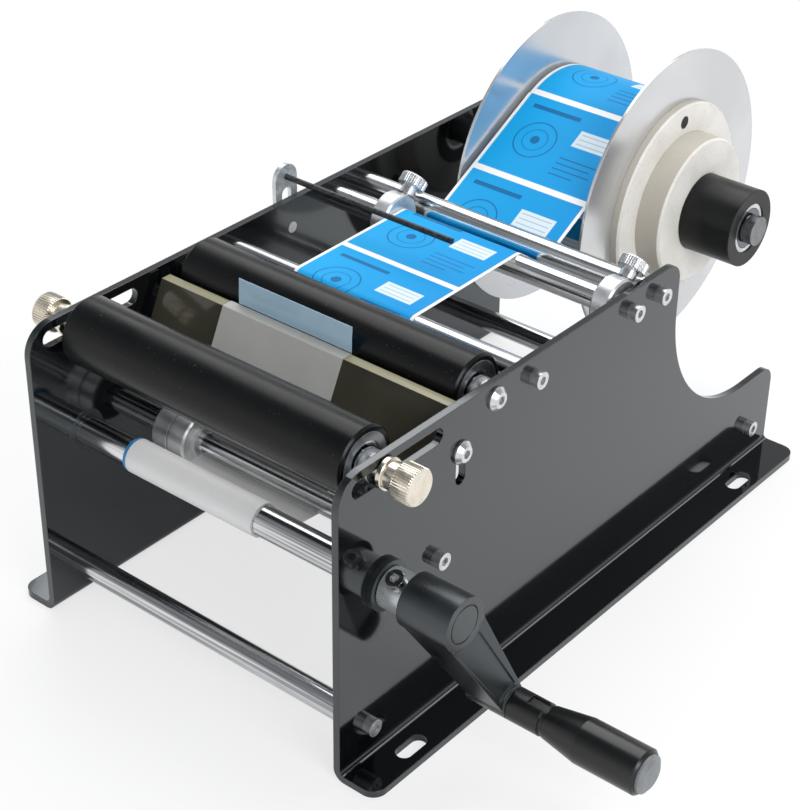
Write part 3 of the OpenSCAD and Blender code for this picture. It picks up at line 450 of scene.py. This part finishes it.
def printed_box(tree, spot, middle, size):
    """1 inside a box on the label, 0 outside it; the sizes are in millimetres."""
    off = add(tree, "VectorMath", 0, {0: spot, 1: (*middle, 0.0)}, operation="SUBTRACT")
    off = add(tree, "VectorMath", 0, {0: off}, operation="ABSOLUTE")
    off = add(tree, "VectorMath", 0, {0: off, 1: (size[0] / 2, size[1] / 2, 0.0)}, operation="SUBTRACT")
    across = add(tree, "SeparateXYZ", 0, {0: off})
    most = add(tree, "Math", 0, {0: across, 1: across.node.outputs[1]}, operation="MAXIMUM")
    return add(tree, "MapRange", 0, {"Value": most, "From Min": BLUR, "From Max": -BLUR})


def printed_ring(tree, spot, middle, radius, width):
    """1 on a ring on the label, 0 off it; a ring of no radius is a dot."""
    far = add(tree, "VectorMath", 1, {0: spot, 1: (*middle, 0.0)}, operation="DISTANCE")
    off = add(tree, "Math", 0, {0: far, 1: radius}, operation="SUBTRACT")
    off = add(tree, "Math", 0, {0: off}, operation="ABSOLUTE")
    half = width / 2
    return add(tree, "MapRange", 0, {"Value": off, "From Min": half + BLUR, "From Max": half - BLUR})


def label_ink(tree, spot):
    """The colour of a label at a spot, in millimetres from its first corner.

    A ring has a radius and a width, a rule has a row and a length.
    """
    rings_at = (17.0, 23.0)
    rings = ((9.7, 0.6), (5.8, 0.4), (0.0, 4.4))
    rules_from = 33.0
    rules = ((27.3, 20.0), (30.3, 17.0), (33.3, 19.0), (36.3, 12.0))
    rule_width = 0.6
    bar_at = (17.5, 6.1)
    bar_size = (25.0, 2.2)
    panel_at = (43.0, 15.5)
    panel_size = (18.0, 9.0)
    panel_rows = (12.9, 15.5, 18.1)
    panel_rule = (15.0, 0.5)
    dark_share = 0.75
    grey_share = 0.6
    fade = add(tree, "MapRange", 0, {"Value": add(tree, "SeparateXYZ", 0, {0: spot}), "From Max": LABEL[0]})
    ink = add(tree, "Mix", 2, {0: fade, 6: rgb("14A3E2"), 7: rgb("0491D4")}, data_type="RGBA")
    marks = [printed_ring(tree, spot, rings_at, radius, width) for radius, width in rings]
    marks += [printed_box(tree, spot, (rules_from + length / 2, row), (length, rule_width))
              for row, length in rules]
    marks.append(printed_box(tree, spot, bar_at, bar_size))
    for mark in marks:
        mark = add(tree, "Math", 0, {0: mark, 1: dark_share}, operation="MULTIPLY")
        ink = add(tree, "Mix", 2, {0: mark, 6: ink, 7: rgb("0A4C86")}, data_type="RGBA")
    panel = printed_box(tree, spot, panel_at, panel_size)
    ink = add(tree, "Mix", 2, {0: panel, 6: ink, 7: rgb("D3E2EA")}, data_type="RGBA")
    for row in panel_rows:
        rule = printed_box(tree, spot, (panel_at[0], row), panel_rule)
        rule = add(tree, "Math", 0, {0: rule, 1: grey_share}, operation="MULTIPLY")
        ink = add(tree, "Mix", 2, {0: rule, 6: ink, 7: rgb("7D97A6")}, data_type="RGBA")
    return ink


def label_row(finish, across, along):
    """Labels in a row on the liner; both places are in millimetres."""
    tree = finish.tree
    from_side = add(tree, "Math", 0, {0: across, 1: WEB_X[0] + GAP / 2}, operation="SUBTRACT")
    from_gap = add(tree, "Math", 0, {0: along, 1: FIRST_GAP + PITCH, 2: FIRST_GAP}, operation="WRAP")
    from_end = add(tree, "Math", 0, {0: from_gap, 1: FIRST_GAP + GAP / 2}, operation="SUBTRACT")
    spot = add(tree, "CombineXYZ", 0, {0: from_side, 1: from_end})
    on_label = printed_box(tree, spot, (LABEL[0] / 2, LABEL[1] / 2), LABEL)
    tint = add(tree, "Mix", 2, {0: on_label, 6: finish.colour, 7: label_ink(tree, spot)}, data_type="RGBA")
    finish.link("Base Color", tint)
    relief = {"Height": on_label, "Distance": LABEL_T * MM, "Normal": finish.normal}
    finish.link("Normal", add(tree, "Bump", 0, relief))


ROLL_R = 44.5
LEAVES = math.radians(117.55)
wound = Finish("labels on coated paper", "EDEEEE", "F3F3F3", cloud=20.0, rough=(0.4, 0.48), grain=0.5,
               depth=0.003, Specular_IOR_Level=0.12)
axis = (0.0, (REEL[0] + FRONT) * MM, REEL[1] * MM)
off = add(wound.tree, "VectorMath", 0, {0: wound.where, 1: axis}, operation="SUBTRACT")
off = add(wound.tree, "VectorMath", 0, {0: off, 3: 1000.0}, operation="SCALE")
across = add(wound.tree, "SeparateXYZ", 0, {0: off})
parts = across.node.outputs
angle = add(wound.tree, "Math", 0, {0: parts[2], 1: parts[1]}, operation="ARCTAN2")
angle = add(wound.tree, "Math", 0, {0: angle, 1: LEAVES}, operation="SUBTRACT")
label_row(wound, across, add(wound.tree, "Math", 0, {0: angle, 1: ROLL_R}, operation="MULTIPLY"))
paint(wound, "label_roll")

# Label web: 61 mm liner with its labels, drawn tight from the roll under the upper rod,
# over the guide and feed rods and round the rear roller to the peel edge; from there the
# bare liner runs down the peel plate, behind and under the liner rod to the take-up.
UPPER_ROD = (192.5, 122.0)
FEED_ROD = (109.8, 122.0)
LINER_ROD = (54.0, 71.0)
CRANK = (24.5, 76.5)
ARC_STEP = 0.6
FEWEST_STEPS = 6


def heading(first, second):
    """The direction of the straight run from one bend to the next."""
    way = (second[0][0] - first[0][0], second[0][1] - first[0][1])
    return math.atan2(way[1], way[0]) % math.tau - math.asin((second[1] - first[1]) / math.hypot(*way))


def touch(bend, direction):
    """The point of a bend that a run in this direction touches."""
    return (bend[0][0] + bend[1] * math.sin(direction), bend[0][1] - bend[1] * math.cos(direction))


def follow(bends):
    """Points of a tight web over a row of bends, each a centre and a signed radius."""
    ways = [heading(a, b) for a, b in zip(bends, bends[1:])]
    line = [touch(bends[0], ways[0])]
    for bend, h0, h1 in zip(bends[1:-1], ways, ways[1:]):
        steps = max(FEWEST_STEPS, int(abs(bend[1] * (h1 - h0)) / ARC_STEP))
        line += [touch(bend, h0 + (h1 - h0) * i / steps) for i in range(steps + 1)]
    return line + [touch(bends[-1], ways[-1])]


# The middle of the paper runs a little off the rolls and the peel plate's edges, and less off
# the rods that it is drawn tight over.
PEEL_T = 4.0
PEEL_L = 34.0
EDGE_IN = 0.2
LOOSE = 0.45
TIGHT = 0.21
ROD_R = 5.0
ROLLER_R = 13.9
TAKEUP_R = 7.0
lean = math.radians(25.5)
down = Vector((-math.sin(lean), -math.cos(lean)))
rear = Vector((math.cos(lean), -math.sin(lean)))
edge = Vector((71.0, 127.6))
face = edge - PEEL_T * rear
bend_roll = (REEL, ROLL_R + LOOSE)
bend_upper = (UPPER_ROD, -ROD_R - TIGHT)
bend_guide = (GUIDE_ROD, ROD_R + TIGHT)
bend_feed = (FEED_ROD, ROD_R + TIGHT)
bend_rear = (REAR_ROLLER, -ROLLER_R - LOOSE)
bend_edge = (tuple(edge - Vector((EDGE_IN, EDGE_IN))), LOOSE)
bend_top = (tuple(face + (PEEL_T * math.tan(lean) + EDGE_IN) * down + EDGE_IN * rear), LOOSE)
bend_low = (tuple(face + (PEEL_L - EDGE_IN) * down + EDGE_IN * rear), LOOSE)
bend_liner = (LINER_ROD, -ROD_R - TIGHT)
bend_takeup = (CRANK, -TAKEUP_R - LOOSE)


def strip(name, line, span, body, mats, thick=0.2, start=0.0):
    """A paper strip along a line of points; its first material is on the label side."""
    count = len(line)
    run = [0.0]
    for p, q in zip(line, line[1:]):
        run.append(run[-1] + math.dist(p, q))
    points, uvs = [], []
    for i, p in enumerate(line):
        q0, q1 = line[max(i - 1, 0)], line[min(i + 1, count - 1)]
        way = Vector((q1[0] - q0[0], q1[1] - q0[1])).normalized()
        out = Vector((way.y, -way.x)) * thick / 2
        for x, s in ((span[0], 1), (span[1], 1), (span[1], -1), (span[0], -1)):
            points.append((x, p[0] + s * out.x, p[1] + s * out.y))
            uvs.append((x - start, run[i]))
    faces, picks = [], []
    for i in range(count - 1):
        a, b = 4 * i, 4 * i + 4
        for k, pick in ((0, 0), (1, 1), (2, 1), (3, 1)):
            n = (k + 1) % 4
            faces.append((a + k, a + n, b + n, b + k))
            picks.append(pick)
    last = 4 * count - 4
    faces += [(3, 2, 1, 0), (last, last + 1, last + 2, last + 3)]
    picks += [1, 1]
    new = build(name, points, faces, body, mats, picks, uvs)
    new.data.set_sharp_from_angle(angle=math.radians(60))
    return new


printed = Finish("label web of coated paper", "EDEEEE", "F3F3F3", cloud=20.0, rough=(0.4, 0.48), grain=0.5,
                 depth=0.003, Specular_IOR_Level=0.12)
across = add(printed.tree, "SeparateXYZ", 0, {0: add(printed.tree, "UVMap", 0, {}, uv_map="sheet")})
label_row(printed, across, across.node.outputs[1])
# Release liner: smooth white glassine with a slight sheen. Over the peel plate a darker copy is used:
# greyer where the dark plate behind it shows through, and darkened further with painted shade.
liner = Finish("white glassine liner", "EFEEEA", "F4F3F0", cloud=25.0, rough=(0.4, 0.5), grain=0.3,
               depth=0.003, Subsurface_Weight=0.6, Subsurface_Scale=0.002, Subsurface_Radius=(1.0, 1.0, 0.9))
# Painted shade: this copy of the liner is darker than the liner itself, as well as greyed by the plate behind
# it.
backed_and_shaded = Finish("glassine liner over the plate", "A6A6A1", "AEAEA9", cloud=25.0, rough=(0.4, 0.5), grain=0.3,
                depth=0.003)
web_line = follow([bend_roll, bend_upper, bend_guide, bend_feed, bend_rear, bend_edge])[:-1]
web = strip("label_web_paper", web_line, WEB_X, "frame", [printed.mat, liner.mat])
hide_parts("label_web")
peel_line = follow([bend_rear, bend_edge, bend_top, bend_low, bend_liner])
peeled = strip("peel_web_paper", peel_line, WEB_X, None, [backed_and_shaded.mat, backed_and_shaded.mat])
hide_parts("peel_web")
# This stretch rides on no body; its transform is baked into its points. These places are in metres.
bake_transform(peeled)
return_line = follow([bend_low, bend_liner, bend_takeup])[1:]
returned = strip("liner_return_paper", return_line, WEB_X, "frame", [liner.mat, liner.mat])
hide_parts("liner_return")

# Take-up: the spent liner wound on the crank shaft, white glassine as before, with a turn of
# blue paper tape at its far end: a flat mid blue with a dull surface.
paint(liner, "takeup_roll")
tape = Finish("blue paper tape", "1C7FBE", "2A8CC9", cloud=8.0, rough=(0.4, 0.5), grain=0.3, depth=0.004)
tape_ring = [(6.05, -47.6, 0), (6.8, -47.6, 0), (6.8, -46.05, 0), (6.05, -46.05, 0)]
turned("takeup_tape", "crank", (0.0, *CRANK), (1.0, 0.0, 0.0), tape_ring, tape.mat,
       teeth=24, ring=True)

# Dispensed label: the next label stands up behind the peel edge with a slight curl, its
# sticky back to the front. The back is a pale blue-grey, and the print only just shows
# through it; the printed face is coated paper with a soft sheen.
LABEL_X = (-34.6, 22.4)
RISE = 10.8
CURL = 0.4
CURL_STEPS = 12
SHOWS_THROUGH = 0.18
foot = (71.25, 128.2)
sticky = Finish("adhesive label back", "BBD4E1", "C6DBE6", cloud=10.0, rough=(0.35, 0.5), grain=0.6,
                depth=0.004)
spot = add(sticky.tree, "UVMap", 0, {}, uv_map="sheet")
tint = {0: SHOWS_THROUGH, 6: sticky.colour, 7: label_ink(sticky.tree, spot)}
sticky.link("Base Color", add(sticky.tree, "Mix", 2, tint, data_type="RGBA"))
shown = Finish("label face of coated paper", "EDEEEE", "F3F3F3", cloud=20.0, rough=(0.36, 0.44), grain=0.5,
               depth=0.003)
shown.link("Base Color", label_ink(shown.tree, add(shown.tree, "UVMap", 0, {}, uv_map="sheet")))
shares = [i / CURL_STEPS for i in range(CURL_STEPS + 1)]
label_line = [(foot[0] + CURL * share ** 2, foot[1] + RISE * share) for share in shares]
label = strip("standing_label", label_line, LABEL_X, "peel", [shown.mat, sticky.mat],
              start=LABEL_X[0])
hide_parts("dispensed_label")
